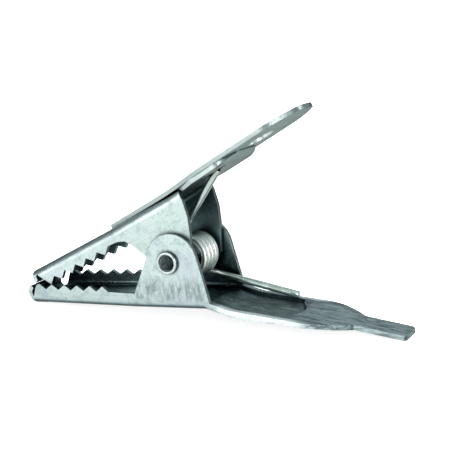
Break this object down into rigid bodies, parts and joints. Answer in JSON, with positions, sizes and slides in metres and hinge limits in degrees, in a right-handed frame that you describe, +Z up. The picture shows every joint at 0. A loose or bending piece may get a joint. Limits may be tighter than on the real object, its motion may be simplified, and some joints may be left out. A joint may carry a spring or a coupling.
{
  "type": "alligator clip",
  "caption": "Plated steel alligator test clip with toothed channel jaws, hollow rivet pivot, torsion spring, finger plate with a hole and a narrow solder tab.",
  "frame": {"origin": "middle of the pivot rivet's bore", "axes": "+X toward the handles and the solder tab, +Y along the rivet, +Z up as the clip stands on its nose and tab tip"},
  "size_m": [0.0533, 0.0114, 0.0276],
  "materials": {
    "jaw_steel": "zinc plated sheet steel, mottled, lightly scuffed",
    "plate_steel": "zinc plated sheet steel, fine lengthwise rolling lines",
    "rivet_metal": "bright rolled tube rivet",
    "spring_wire": "bright drawn spring wire"
  },
  "bodies": {
    "lower": {"lower_jaw": "jaw_steel", "pivot_rivet": "rivet_metal", "torsion_spring": "spring_wire"},
    "upper": {"upper_jaw": "jaw_steel", "upper_handle": "plate_steel"}
  },
  "joints": [
    {"name": "jaw_pivot", "type": "hinge", "parent": "lower", "child": "upper", "pos_m": [0, 0, 0], "axis": [0, 1, 0], "range_deg": [0, 60], "stiffness_Nm_per_rad": 0.075, "springref_deg": -45.84, "deforming": ["torsion_spring"]}
  ]
}
